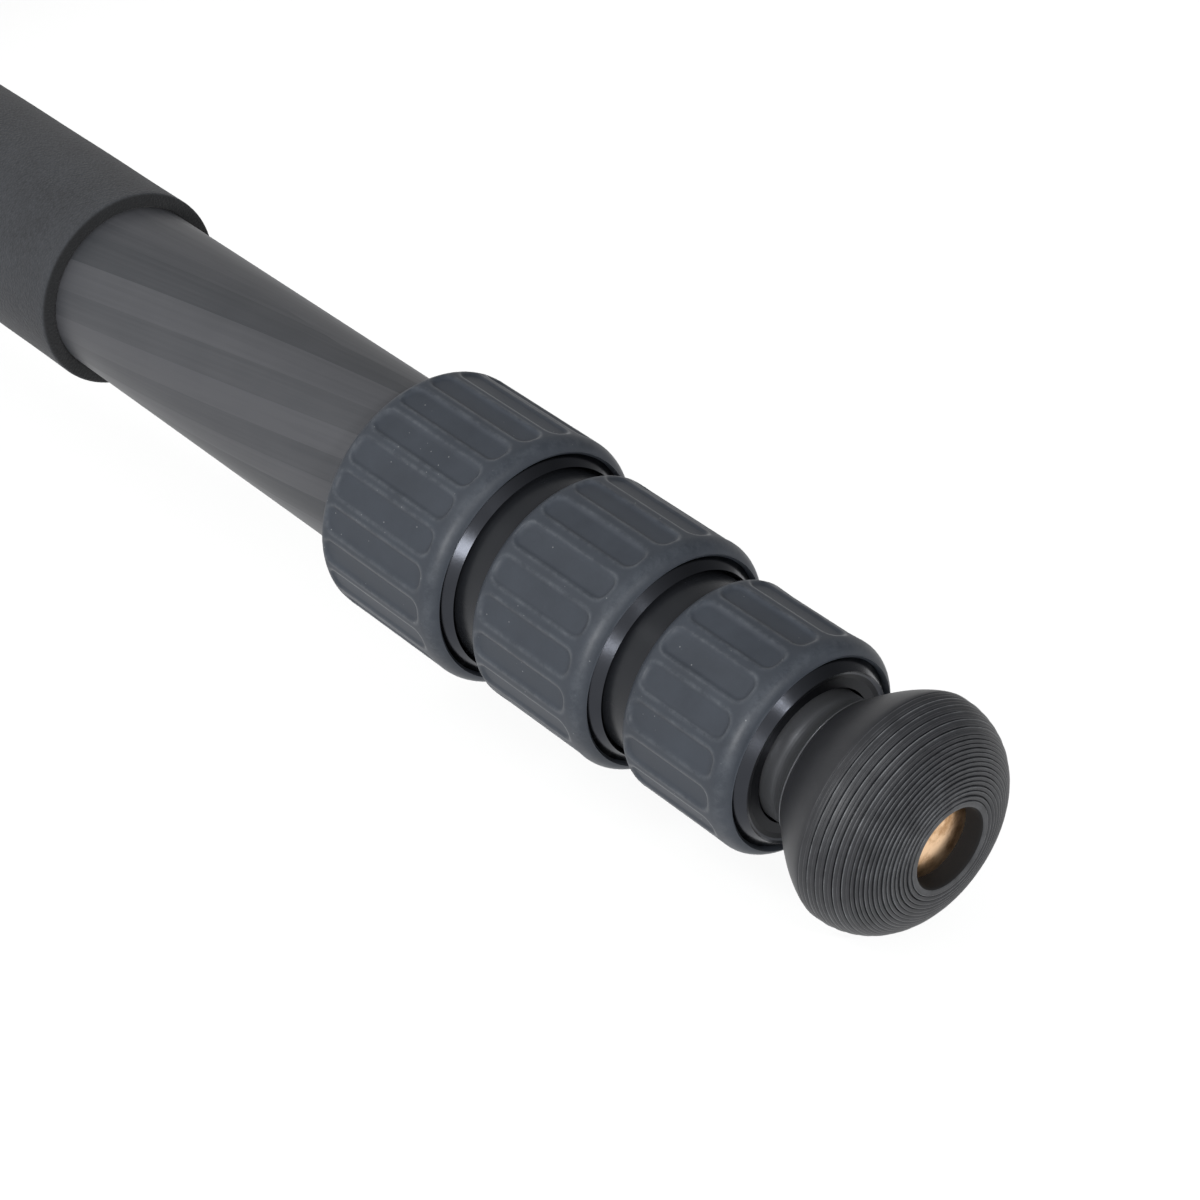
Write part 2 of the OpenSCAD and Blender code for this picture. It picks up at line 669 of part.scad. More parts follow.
spider();
pivot_bolts();
pivot_washers();
head_platform();
head_stud();
head_set_screws();
clamp_knob();
clamp_screw();
level_housing();
level_vial();
base_cap();
ballast_hook();
for (i = [1:3]) {
    leg_casting(i);
    stop_tab(i);
    foam_grip(i);
    for (n = [0:3]) leg_tube(i, n);
    for (n = [0:2]) lock_nut(i, n);
    for (n = [0:2]) lock_grip(i, n);
    foot_collar(i);
    foot_rubber(i);
    foot_plug(i);
}
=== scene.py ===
"""Camera tripod on its widest leg stop: finishes, soft pieces, floor, lamps and camera."""

import json
import math

import bmesh
import bpy
from bpy.props import FloatProperty, FloatVectorProperty, IntProperty, IntVectorProperty, PointerProperty
from mathutils import Matrix, Vector


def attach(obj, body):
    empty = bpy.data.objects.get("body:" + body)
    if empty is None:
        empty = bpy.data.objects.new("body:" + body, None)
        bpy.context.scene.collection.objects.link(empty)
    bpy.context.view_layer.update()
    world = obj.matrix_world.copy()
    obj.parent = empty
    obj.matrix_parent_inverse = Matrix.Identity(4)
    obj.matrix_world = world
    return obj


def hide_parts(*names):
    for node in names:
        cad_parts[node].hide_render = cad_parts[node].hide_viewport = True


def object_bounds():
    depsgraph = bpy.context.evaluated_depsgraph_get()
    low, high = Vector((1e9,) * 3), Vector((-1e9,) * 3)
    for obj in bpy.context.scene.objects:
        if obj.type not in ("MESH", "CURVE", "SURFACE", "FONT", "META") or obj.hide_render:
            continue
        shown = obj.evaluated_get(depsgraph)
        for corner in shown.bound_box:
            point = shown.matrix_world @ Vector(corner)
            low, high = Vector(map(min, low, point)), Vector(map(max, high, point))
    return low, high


bl_info = {
    "name": "Camera tripod",
    "version": (1, 0, 0),
    "blender": (4, 5, 0),
    "location": "View3D > Sidebar > Tripod",
    "description": "Dresses the tripod's frame and sets its studio",
    "category": "Object",
}

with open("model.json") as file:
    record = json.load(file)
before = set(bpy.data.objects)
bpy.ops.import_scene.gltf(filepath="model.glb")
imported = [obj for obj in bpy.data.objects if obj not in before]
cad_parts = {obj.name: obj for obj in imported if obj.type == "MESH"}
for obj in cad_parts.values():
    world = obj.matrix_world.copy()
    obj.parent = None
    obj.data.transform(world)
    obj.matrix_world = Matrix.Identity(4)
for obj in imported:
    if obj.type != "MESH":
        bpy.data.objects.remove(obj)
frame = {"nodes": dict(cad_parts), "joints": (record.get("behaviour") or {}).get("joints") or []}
cad_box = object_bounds()

# Turn of each leg round the hub, in degrees, and a millimetre in m
LEG_ANGLE = {1: -90.0, 2: 30.0, 3: 150.0}
MM = 0.001

# Tubes: length on which a ply goes once round the tube, in mm, and plies side by side
PLY_LEAD = 595
PLIES = 21.0

# Lock grips, in mm: radius of the back shoulder, radius of the nose and the angle in degrees at which it
# ends, chamfer of the front lip, and spacing, number and reach of the close rows where the flutes end
SHOULDER = 2
NOSE = 3
NOSE_END = 66
LIP = 0.4
ROW = 0.3
ROWS = 13
ROWS_REACH = 3.6
# Flutes: corner's radius as a share of half a flute's width, how much shallower its sides are, and the
# number of steps round the grip for each
FLUTE_CORNER = 0.8
FLUTE_SCOOP = 0.4
FLUTE_STEPS = 24
# Wear and a painted highlight: how far inside a flute's outline and behind the front they are most, how
# far they spread, in mm, and the nose's share of the full mark
EDGE_BACK = 0.05
EDGE_WIDE = 0.3
NOSE_BACK = 1.5
NOSE_WIDE = 0.9
NOSE_WEAR_AND_HIGHLIGHT = 0.6

# Foam sleeves, in mm: radii of the inner and outer edges, and height of each of the skin's two waves
FOAM_INNER = 0.3
FOAM_OUTER = 0.6
FOAM_WAVE = 0.025

# Feet, in mm: how far the dome stands out from the neck, radius of the hole's mouth, and depths at which
# the bore is straight, ends, and meets the collar
FOOT_FLARE = 6.35
FOOT_MOUTH = 0.6
BORE_DEPTHS = (4.0, 8.0, 8.2)
# Grooves by their turn about the middle of the dome, in degrees: first, all, and the coarse outer ones
RIB_START = 1.3
RIB_SPAN = 84
COARSE_RIBS = 36
# A groove and the rib after it: place in pitches, depth as a share of the groove's, and wear with a painted
# highlight on the crest
GROOVE = ((-0.2, 0.18, 0.1), (-0.1, 0.6, 0.0), (-0.03, 1.0, 0.0), (0.03, 1.0, 0.0), (0.09, 0.4, 0.3),
          (0.14, 0.02, 1.0), (0.2, -0.12, 1.0), (0.28, -0.15, 0.8), (0.4, -0.1, 0.2), (0.6, 0.02, 0.0))

# Studio: half the floor's side and the lamps' distance from the foot, in m, the share of white in the
# floor on top of the light that falls on it, the light left at the top of the ceiling and in the dark
# corner, and the way to that corner
FLOOR_HALF = 6.0
LAMP_REACH = 1.6
FLOOR_WHITE = 0.88
CEILING_LIGHT = 0.55
CORNER_LIGHT = 0.3
CORNER_WAY = (0.85, -0.28, 0.44)


def linear(text):
    """Linear colour of an sRGB hex value."""
    parts = [int(text[k:k + 2], 16) / 255 for k in (1, 3, 5)]
    return tuple(c / 12.92 if c <= 0.04045 else ((c + 0.055) / 1.055) ** 2.4 for c in parts)


def shade(text, share=1.0):
    """Colour for a socket, with a share of an sRGB hex value's light."""
    return (*(share * c for c in linear(text)), 1)


def leg_place(leg):
    """Frame of one leg: z runs down the leg from its hinge axis and -x is its upper side."""
    hinge = next(j for j in frame["joints"] if j["name"] == f"leg_{leg}_hinge")
    tilt = math.radians(bpy.context.scene.tripod_sizes.leg_tilt)
    turn = Matrix.Rotation(math.radians(LEG_ANGLE[leg]), 4, "Z") @ Matrix.Rotation(math.pi / 2 + tilt, 4, "Y")
    return Matrix.Translation(Vector(hinge["pos_m"])) @ turn


def span(node, leg):
    """Inner radius, outer radius, start and end of a leg's CAD node, in its leg's frame and in mm."""
    inverse = leg_place(leg).inverted()
    points = [inverse @ v.co / MM for v in frame["nodes"][node].data.vertices]
    radii = [math.hypot(p.x, p.y) for p in points]
    heights = [p.z for p in points]
    return min(radii), max(radii), min(heights), max(heights)


def arc(cx, cy, radius, start, end, steps):
    """Points of an arc, angles in degrees."""
    turns = [math.radians(start + (end - start) * k / steps) for k in range(steps + 1)]
    return [(cx + radius * math.cos(t), cy + radius * math.sin(t)) for t in turns]


def turned(profile, steps, closed=True):
    """A bmesh made by spinning a profile of (radius, height) points, in mm, closed or from axis to axis."""
    bm = bmesh.new()
    ring = [bm.verts.new((r, 0, z)) for r, z in profile]
    edges = [bm.edges.new((a, b)) for a, b in zip(ring, ring[1:] + (ring[:1] if closed else []))]
    bmesh.ops.spin(bm, geom=ring + edges, cent=(0, 0, 0), axis=(0, 0, 1), angle=2 * math.pi,
                   steps=steps, use_merge=True)
    bmesh.ops.remove_doubles(bm, verts=bm.verts, dist=1e-4)
    bmesh.ops.recalc_face_normals(bm, faces=bm.faces)
    return bm


def seat(bm, name, place, crease=35):
    """A finished object from a bmesh in mm, set in its place with smooth faces and kept creases."""
    mesh = bpy.data.meshes.new(name)
    bm.to_mesh(mesh)
    mesh.transform(place @ Matrix.Scale(MM, 4))
    mesh.shade_smooth()
    mesh.set_sharp_from_angle(angle=math.radians(crease))
    piece = bpy.data.objects.new(name, mesh)
    bpy.context.scene.collection.objects.link(piece)
    return piece


def finish_as(piece, material):
    """Gives a piece one material."""
    piece.data.materials.clear()
    piece.data.materials.append(material)


# Materials

def feed(tree, node, inputs):
    """Gives a node its inputs, as values or as sockets to link."""
    for key, value in inputs.items():
        if isinstance(value, bpy.types.NodeSocket):
            tree.links.new(value, node.inputs[key])
        else:
            node.inputs[key].default_value = value


def add(tree, kind, inputs=None, **settings):
    """Adds a node with its settings and its inputs."""
    new = tree.nodes.new("ShaderNode" + kind)
    for name, value in settings.items():
        setattr(new, name, value)
    feed(tree, new, inputs or {})
    return new


def noise(tree, place, scale, detail, roughness=0.5):
    """Socket with a cloudy value about 0.5, its scale in lumps per mm."""
    return add(tree, "TexNoise", {"Vector": place, "Scale": scale, "Detail": detail,
                                  "Roughness": roughness}).outputs["Fac"]


def cells(tree, place, scale, **settings):
    """Socket with the distance from the middle of the nearest cell, its scale in cells per mm."""
    return add(tree, "TexVoronoi", {"Vector": place, "Scale": scale}, **settings).outputs["Distance"]


def reckon(tree, operation, *values):
    """Socket with what a Math node makes of its values."""
    return add(tree, "Math", dict(enumerate(values)), operation=operation).outputs[0]


def spread(tree, value, low, high, start=0.0, end=1.0):
    """Socket that goes from start to end as a value goes from low to high."""
    return add(tree, "MapRange", {0: value, 1: low, 2: high, 3: start, 4: end}).outputs[0]


def tint(tree, share, first, second):
    """Socket with a colour between two others."""
    return add(tree, "Mix", {0: share, 6: first, 7: second}, data_type="RGBA").outputs[2]


def between(tree, share, first, second):
    """Socket with a number between two others."""
    return add(tree, "Mix", {0: share, 2: first, 3: second}).outputs[0]


def bump(tree, height, strength, depth):
    """Socket with the normal of a bumpy surface, its depth in m."""
    return add(tree, "Bump", {"Height": height, "Strength": strength, "Distance": depth}).outputs[0]


def along_axis(tree, place):
    """Socket with the height of a place, along z."""
    return add(tree, "SeparateXYZ", {"Vector": place}).outputs["Z"]


def off_axis(tree, place):
    """Socket with the distance of a place from the z axis."""
    apart = add(tree, "SeparateXYZ", {"Vector": place})
    flat = add(tree, "CombineXYZ", {"X": apart.outputs["X"], "Y": apart.outputs["Y"]})
    return add(tree, "VectorMath", {0: flat.outputs[0]}, operation="LENGTH").outputs["Value"]


def edge_wear_and_highlight(tree):
    """Socket with how close the surface is to an edge, from 0 to 1, as mark_edges keeps it: it marks wear,
    and where a painted highlight goes.
    """
    return add(tree, "Attribute", attribute_name="edge").outputs["Fac"]


def begin(name, leg=None):
    """A new material, its tree and shader, and Object coordinates in mm, along a leg if one is given."""
    material = bpy.data.materials.new(name if leg is None else f"{name} {leg}")
    material.use_nodes = True
    tree = material.node_tree
    shader = tree.nodes["Principled BSDF"]
    inverse = Matrix.Identity(4) if leg is None else leg_place(leg).inverted()
    place = add(tree, "Mapping", {
        "Vector": add(tree, "TexCoord").outputs["Object"],
        "Location": inverse.translation / MM,
        "Rotation": inverse.to_euler(),
        "Scale": (1 / MM, 1 / MM, 1 / MM),
    }).outputs["Vector"]
    return material, tree, shader, place


def grip_rubber(leg):
    """Moulded nitrile rubber: matt, faintly blue-grey, with dust in its grain, and pale on its edges and nose
    from wear and a painted highlight.
    """
    colours = bpy.context.scene.tripod_colours
    material, tree, shader, place = begin("moulded grip rubber", leg)
    cloud = noise(tree, place, scale=0.11, detail=4.0, roughness=0.6)
    grain = noise(tree, place, scale=3.2, detail=3.0, roughness=0.7)
    scuff = noise(tree, place, scale=0.34, detail=6.0, roughness=0.78)
    wear_and_highlight = edge_wear_and_highlight(tree)
    # Pale on the flutes' edges and the nose: partly wear, partly a painted highlight
    rubbed_and_highlit = reckon(tree, "MULTIPLY", wear_and_highlight, spread(tree, scuff, 0.4, 0.72, end=0.5))
    speck = spread(tree, cells(tree, place, scale=0.62), 0.05, 0.085, start=0.8, end=0.0)
    dust = reckon(tree, "MULTIPLY", speck, spread(tree, scuff, 0.5, 0.56))
    tone = tint(tree, cloud, shade("#2e333b"), (*colours.rubber, 1))
    pale_wear_and_highlight = tint(tree, rubbed_and_highlit, tone, shade("#7b8188"))
    feed(tree, shader, {
        "Base Color": tint(tree, dust, pale_wear_and_highlight, shade("#9a9da0")),
        "Roughness": between(tree, wear_and_highlight, spread(tree, cloud, 0.3, 0.7, start=0.5, end=0.6), 0.34),
        "IOR": 1.42,
        "Normal": bump(tree, grain, strength=0.12, depth=0.0001),
    })
    return material


def sleeve_foam(leg):
    """Closed-cell EVA foam: soft, dry and matt, with a skin of fine burst cells, and painted shade darkening
    its ends.
    """
    colours = bpy.context.scene.tripod_colours
    material, tree, shader, place = begin("closed-cell EVA foam", leg)
    grain = noise(tree, place, scale=1.3, detail=6.0, roughness=0.75)
    cloud = noise(tree, place, scale=0.07, detail=3.0, roughness=0.6)
    pores = reckon(tree, "ADD", grain, cells(tree, place, scale=1.9))
    tone = tint(tree, spread(tree, grain, 0.3, 0.7), shade("#26282b"), (*colours.foam, 1))
    faded = tint(tree, spread(tree, cloud, 0.35, 0.7, end=0.35), tone, shade("#4b4e53"))
    # Painted shade: the sleeve's end faces are darkened, as shade falls on them
    start, end = span(f"leg_{leg}_foam_grip", leg)[2:]
    half = (end - start) / 2
    middle = reckon(tree, "SUBTRACT", along_axis(tree, place), (start + end) / 2)
    painted_end_shade = spread(tree, reckon(tree, "ABSOLUTE", middle), half - 0.35, half - 0.05, end=0.85)
    feed(tree, shader, {
        "Base Color": tint(tree, painted_end_shade, faded, shade("#0c0d0f")),
        "Roughness": 0.85,
        "Sheen Weight": 0.15,
        "Sheen Roughness": 0.5,
        "Normal": bump(tree, pores, strength=0.35, depth=0.0004),
    })
    return material


def carbon_tube(leg, n):
    """Filament-wound carbon fibre, ground matt: plies lie along the tube at a slight slant under satin
    resin, and what stands proud of the tube is the dark anodised bush bonded on its end."""
    sizes = bpy.context.scene.tripod_sizes
    colours = bpy.context.scene.tripod_colours
    material, tree, shader, place = begin(f"ground carbon fibre {n}", leg)
    angle = add(tree, "TexGradient", {"Vector": place}, gradient_type="RADIAL").outputs["Fac"]
    along = along_axis(tree, place)
    wound = reckon(tree, "ADD", angle, reckon(tree, "MULTIPLY", along, 1 / PLY_LEAD))
    plies = reckon(tree, "MULTIPLY", wound, PLIES)
    ply = add(tree, "TexVoronoi", {"W": plies, "Scale": 1.0}, voronoi_dimensions="1D").outputs["Color"]
    ply_tone = add(tree, "SeparateColor", {0: ply}).outputs[0]
    # Strands are a sixth of a ply wide and about 33 mm long
    fibre = add(tree, "CombineXYZ", {"X": reckon(tree, "MULTIPLY", plies, 6.0),
                                     "Y": reckon(tree, "MULTIPLY", along, 0.03)}).outputs[0]
    strands = noise(tree, fibre, scale=1.0, detail=3.0)
    cloud = noise(tree, place, scale=0.06, detail=3.0, roughness=0.6)
    mottle = reckon(tree, "ADD", reckon(tree, "MULTIPLY_ADD", ply_tone, 1.5, strands), cloud)
    tone = tint(tree, spread(tree, mottle, 1.0, 2.5), shade("#45474b"), (*colours.carbon, 1))
    proud = reckon(tree, "GREATER_THAN", off_axis(tree, place), sizes.tube_radii[n - 1] + 0.2)
    satin = spread(tree, strands, 0.0, 1.0, start=0.5, end=0.42)
    feed(tree, shader, {
        "Base Color": tint(tree, proud, tone, shade("#292b2f")),
        "Metallic": reckon(tree, "MULTIPLY", proud, 0.3),
        "Roughness": between(tree, proud, satin, 0.24),
        "IOR": 1.4,
    })
    return material


def turned_metal(name, hex_colour, roughness, ripple, leg=None, metallic=1.0, shaded_matt_inside=0.0):
    """Aluminium or steel off a lathe: fine rings round its axis break the highlight up, and inside a
    radius in mm, if one is given, it is matt and painted darker as shade."""
    material, tree, shader, place = begin(name, leg)
    rings = add(tree, "CombineXYZ", {"X": along_axis(tree, place)}).outputs[0]
    lathe = noise(tree, rings, scale=6.0, detail=3.0, roughness=0.8)
    cloud = noise(tree, place, scale=0.25, detail=4.0)
    tone = tint(tree, cloud, shade(hex_colour), shade(hex_colour, 0.8))
    rough = spread(tree, cloud, 0.3, 0.7, start=roughness * 0.85, end=roughness * 1.15)
    if shaded_matt_inside:
        # Painted shade: inside the radius the metal's colour is darkened as if in shade; the matt roughness
        # is real
        inside = spread(tree, off_axis(tree, place), shaded_matt_inside - 0.1, shaded_matt_inside, start=1.0, end=0.0)
        tone = tint(tree, inside, tone, shade(hex_colour, 0.35))
        rough = between(tree, inside, rough, 0.4)
    feed(tree, shader, {
        "Base Color": tone,
        "Metallic": metallic,
        "Roughness": rough,
        "Normal": bump(tree, lathe, strength=ripple, depth=0.0001),
    })
    return material


def foot_rubber(leg):
    """Moulded tyre-grade rubber: near black and dull, smoother on its ribs' crests and pale there from wear
    and a painted highlight, with painted shade in its hole.
    """
    sizes = bpy.context.scene.tripod_sizes
    colours = bpy.context.scene.tripod_colours
    material, tree, shader, place = begin("moulded foot rubber", leg)
    cloud = noise(tree, place, scale=0.3, detail=5.0, roughness=0.7)
    grain = noise(tree, place, scale=2.8, detail=4.0, roughness=0.7)
    wear_and_highlight = edge_wear_and_highlight(tree)
    # Pale on the crests and the hole's mouth: partly wear, partly a painted highlight
    rubbed_and_highlit = reckon(tree, "MULTIPLY", wear_and_highlight, spread(tree, cloud, 0.35, 0.65, start=0.2, end=0.95))
    tone = tint(tree, cloud, shade("#242528"), (*colours.foot, 1))
    pale_wear_and_highlight = tint(tree, rubbed_and_highlit, tone, shade("#909397"))
    # Painted shade: the rubber inside the hole is darkened, as shade falls in it
    bore = reckon(tree, "LESS_THAN", off_axis(tree, place), sizes.foot_hole + 0.25)
    feed(tree, shader, {
        "Base Color": tint(tree, bore, pale_wear_and_highlight, shade("#161617")),
        "Roughness": between(tree, bore, between(tree, wear_and_highlight, 0.46, 0.24), 0.9),
        "IOR": 1.42,
        "Normal": bump(tree, grain, strength=0.15, depth=0.00015),
    })
    return material


def tarnished_bronze(leg):
    """Cast bronze: warm metal under brown blotches of tarnish."""
    material, tree, shader, place = begin("tarnished bronze", leg)
    blotch = noise(tree, place, scale=0.32, detail=6.0, roughness=0.65)
    feed(tree, shader, {
        "Base Color": tint(tree, spread(tree, blotch, 0.34, 0.56), shade("#b08559"), shade("#f0cba4")),
        "Metallic": 0.95,
        "Roughness": 0.3,
        "Normal": bump(tree, blotch, strength=0.15, depth=0.0004),
    })
    return material


def powder_coat():
    """Textured powder coat on cast alloy: black, satin, with a fine orange peel."""
    colours = bpy.context.scene.tripod_colours
    material, tree, shader, place = begin("black powder coat")
    peel = cells(tree, place, scale=1.6, feature="SMOOTH_F1")
    cloud = noise(tree, place, scale=0.08, detail=3.0)
    feed(tree, shader, {
        "Base Color": tint(tree, cloud, shade("#232427"), (*colours.casting, 1)),
        "Roughness": 0.44,
        "Normal": bump(tree, peel, strength=0.2, depth=0.0003),
    })
    return material


def moulded_plastic(name, hex_colour, roughness):
    """Glass-filled nylon off a spark-eroded tool: a fine even grain and a dull sheen."""
    material, tree, shader, place = begin(name)
    grain = noise(tree, place, scale=2.5, detail=4.0, roughness=0.7)
    cloud = noise(tree, place, scale=0.2, detail=3.0)
    feed(tree, shader, {
        "Base Color": tint(tree, cloud, shade(hex_colour), shade(hex_colour, 0.8)),
        "Roughness": roughness,
        "Normal": bump(tree, grain, strength=0.2, depth=0.00015),
    })
    return material


def level_glass():
    """Acrylic vial of spirit: clear yellow-green, polished."""
    material, tree, shader, place = begin("tinted level glass")
    cloud = noise(tree, place, scale=0.1, detail=2.0)
    feed(tree, shader, {
        "Base Color": tint(tree, cloud, shade("#a9c45c"), shade("#bcd774")),
        "Roughness": 0.06,
        "Transmission Weight": 0.35,
        "IOR": 1.49,
    })
    return material


# Settings

class TripodSizes(bpy.types.PropertyGroup):
    """Sizes of the pieces that Blender adds to the frame."""
    leg_tilt: FloatProperty(name="Leg tilt", description="Angle of a leg below the horizontal, in degrees",
                            default=10.0, min=0.0, max=80.0)
    flutes: IntVectorProperty(name="Flutes", description="Number of flutes on locks 1, 2 and 3",
                              default=(22, 19, 18), size=3, min=8, max=30)
    flute_turn: FloatVectorProperty(name="Flute turn", description="Share of a flute's pitch by which the"
                                    " flutes of locks 1, 2 and 3 are turned from the leg's underside",
                                    default=(0.126, 0.659, 0.129), size=3)
    flute_width: FloatProperty(name="Flute width", description="Width of a flute, in mm", default=5.1,
                               min=1.0)
    flute_depth: FloatProperty(name="Flute depth", description="Depth of a flute, in mm", default=0.55,
                               min=0.0)
    flute_slope: FloatProperty(name="Flute slope", description="Width of a flute's rounded bank, in mm",
                               default=0.85, min=0.1)
    flute_front: FloatProperty(name="Flute front", description="Plain rubber in front of a flute, in mm",
                               default=3.2, min=0.0)
    flute_back: FloatProperty(name="Flute back", description="Plain rubber behind a flute, in mm",
                              default=1.5, min=0.0)
    foot_ribs: IntProperty(name="Foot ribs", description="Number of fine ribs round the foot's dome",
                           default=26, min=8, max=40)
    foot_fullness: FloatProperty(name="Foot fullness", default=2.2, min=1.0, max=4.0,
                                 description="How square the foot's dome is, 2 being round")
    foot_dome: FloatProperty(name="Foot dome", description="Height of the foot's ribbed dome, in mm",
                             default=12.0, min=4.0)
    foot_hole: FloatProperty(name="Foot hole", description="Radius of the foot's centre hole, in mm",
                             default=6.6, min=2.0)
    rib_depth: FloatProperty(name="Rib depth", description="Depth of the grooves between the ribs, in mm",
                             default=0.5, min=0.0)
    # Painted shade: nut 3's front is darkened inside this radius
    shaded_lip_radius: FloatProperty(name="Lip radius", default=13.9, min=1.0,
                              description="Radius inside which nut 3's front is matt, in mm")
    plug_crown: FloatProperty(name="Plug crown", description="Height of the crown of the bronze plug, in mm",
                              default=0.9, min=0.0)
    tube_radii: FloatVectorProperty(name="Tube radii", description="Outer radii of tubes 1 to 4, in mm",
                                    default=(16.0, 14.15, 12.3, 10.45), size=4, min=1.0)


class TripodColours(bpy.types.PropertyGroup):
    """Colours of the finishes that a user would change."""
    rubber: FloatVectorProperty(name="Grip rubber", description="Lighter tone of the lock grips",
                                subtype="COLOR", default=linear("#4a5059"), min=0, max=1)
    foam: FloatVectorProperty(name="Foam", description="Lighter tone of the foam sleeves",
                              subtype="COLOR", default=linear("#43454a"), min=0, max=1)
    carbon: FloatVectorProperty(name="Carbon fibre", description="Lighter bands of the tubes",
                                subtype="COLOR", default=linear("#5b5c60"), min=0, max=1)
    foot: FloatVectorProperty(name="Foot rubber", description="Lighter tone of the feet",
                              subtype="COLOR", default=linear("#343539"), min=0, max=1)
    casting: FloatVectorProperty(name="Castings", description="Lighter tone of the powder coat",
                                 subtype="COLOR", default=linear("#2d2e31"), min=0, max=1)


class StudioSettings(bpy.types.PropertyGroup):
    """Camera and light."""
    azimuth: FloatProperty(name="Azimuth", description="Turn of the camera round the tripod, in degrees",
                           default=-42.42)
    elevation: FloatProperty(name="Elevation", description="Camera's angle above the horizon, in degrees",
                             default=23.69)
    focal_length: FloatProperty(name="Focal length", description="Lens on a 36 mm wide frame, in mm",
                                default=92.94, min=10.0)
    foot_offset: FloatVectorProperty(name="Foot offset", subtype="TRANSLATION", unit="LENGTH", size=3,
                                     description="The foot's end as the camera sees it: right, down, forward",
                                     default=(0.05009, 0.03557, 0.44219))
    sky: FloatProperty(name="Sky", description="Strength of the even light from all sides", default=0.5,
                       min=0.0)
    key: FloatProperty(name="Key lamp", description="Power of the low lamp left of the camera, in W",
                       default=12.0, min=0.0)
    fill: FloatProperty(name="Fill lamp", description="Power of the lamp right of the camera, in W",
                        default=4.5, min=0.0)
    rim: FloatProperty(name="Rim lamp", description="Power of the high lamp on the left, in W",
                       default=3.0, min=0.0)


# Pieces

def flute_profile(ri, ro, z0, z1, sizes):
    """Closed profile of a lock grip, with close rows of points where the flutes end."""
    back, front = z0 + sizes.flute_back, z1 - sizes.flute_front
    marks = [back + ROW * k for k in range(ROWS)]
    gap = (front - ROWS_REACH) - (back + ROWS_REACH)
    marks += [back + ROWS_REACH + gap * k / 10 for k in range(1, 10)]
    marks += [front - ROWS_REACH + ROW * k for k in range(ROWS)]
    outer = [(ro, z) for z in marks if z0 + SHOULDER + 0.05 < z < z1 - NOSE - 0.05]
    shoulder = arc(ro - SHOULDER, z0 + SHOULDER, SHOULDER, -90, 0, 8)
    nose = arc(ro - NOSE, z1 - NOSE, NOSE, 0, NOSE_END, 12)
    lip = [(ri + LIP, z1), (ri, z1 - LIP)]
    bore = [(ri, z1 - LIP - (z1 - z0 - LIP) * k / 4) for k in range(1, 4)]
    return [(ri, z0), *shoulder, *outer, *nose, *lip, *bore]


def press_flutes(bm, ri, ro, z0, z1, count, turn, sizes):
    """Presses the flutes into a spun grip, and returns how close each vertex is to a flute's edge."""
    back, front = z0 + sizes.flute_back, z1 - sizes.flute_front
    middle, half_long, half_wide = (back + front) / 2, (front - back) / 2, sizes.flute_width / 2
    corner = half_wide * FLUTE_CORNER
    pitch = 2 * math.pi / count
    edges = {}
    for v in bm.verts:
        radius = math.hypot(v.co.x, v.co.y)
        if radius < ro - NOSE + 0.1:
            continue
        angle = math.atan2(v.co.y, v.co.x) / pitch - turn
        across = abs(angle - round(angle)) * pitch * ro
        along = abs(v.co.z - middle)
        dx, dz = across - half_wide + corner, along - half_long + corner
        inside = math.hypot(max(dx, 0), max(dz, 0)) + min(max(dx, dz), 0) - corner
        share = min(max(-inside / sizes.flute_slope, 0), 1)
        scoop = 1 - FLUTE_SCOOP * min(across / half_wide, 1) ** 2
        sink = sizes.flute_depth * share * share * (3 - 2 * share) * scoop
        # Where the rubber is painted pale: wear and a painted highlight on the flutes' edges and the nose
        edge = math.exp(-(((inside + EDGE_BACK) / EDGE_WIDE) ** 2))
        nose = NOSE_WEAR_AND_HIGHLIGHT * math.exp(-(((v.co.z - z1 + NOSE_BACK) / NOSE_WIDE) ** 2))
        edges[v.index] = max(edge, nose)
        v.co.x *= (radius - sink) / radius
        v.co.y *= (radius - sink) / radius
    return edges


def mark_edges(piece, edges):
    """Keeps how close each vertex is to an edge, for the rubber's wear and its painted highlight."""
    layer = piece.data.attributes.new("edge", "FLOAT", "POINT")
    for index, value in edges.items():
        layer.data[index].value = value


class TRIPOD_OT_lock_grips(bpy.types.Operator):
    """Moulds the fluted rubber grips of the nine twist locks."""
    bl_idname = "tripod.lock_grips"
    bl_label = "Lock grips"

    def execute(self, context):
        sizes = context.scene.tripod_sizes
        for n in (1, 2, 3):
            ri, ro, z0, z1 = span(f"leg_1_lock_grip_{n}", 1)
            count = sizes.flutes[n - 1]
            bm = turned(flute_profile(ri, ro, z0, z1, sizes), steps=count * FLUTE_STEPS)
            bm.verts.index_update()
            edges = press_flutes(bm, ri, ro, z0, z1, count, sizes.flute_turn[n - 1], sizes)
            for leg in LEG_ANGLE:
                piece = seat(bm, f"grip_{leg}_{n}", leg_place(leg), crease=50)
                mark_edges(piece, edges)
                finish_as(piece, bpy.data.materials.get(f"moulded grip rubber {leg}") or grip_rubber(leg))
                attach(piece, f"leg_{leg}_lock_{n}")
                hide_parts(f"leg_{leg}_lock_grip_{n}")
            bm.free()
        return {"FINISHED"}


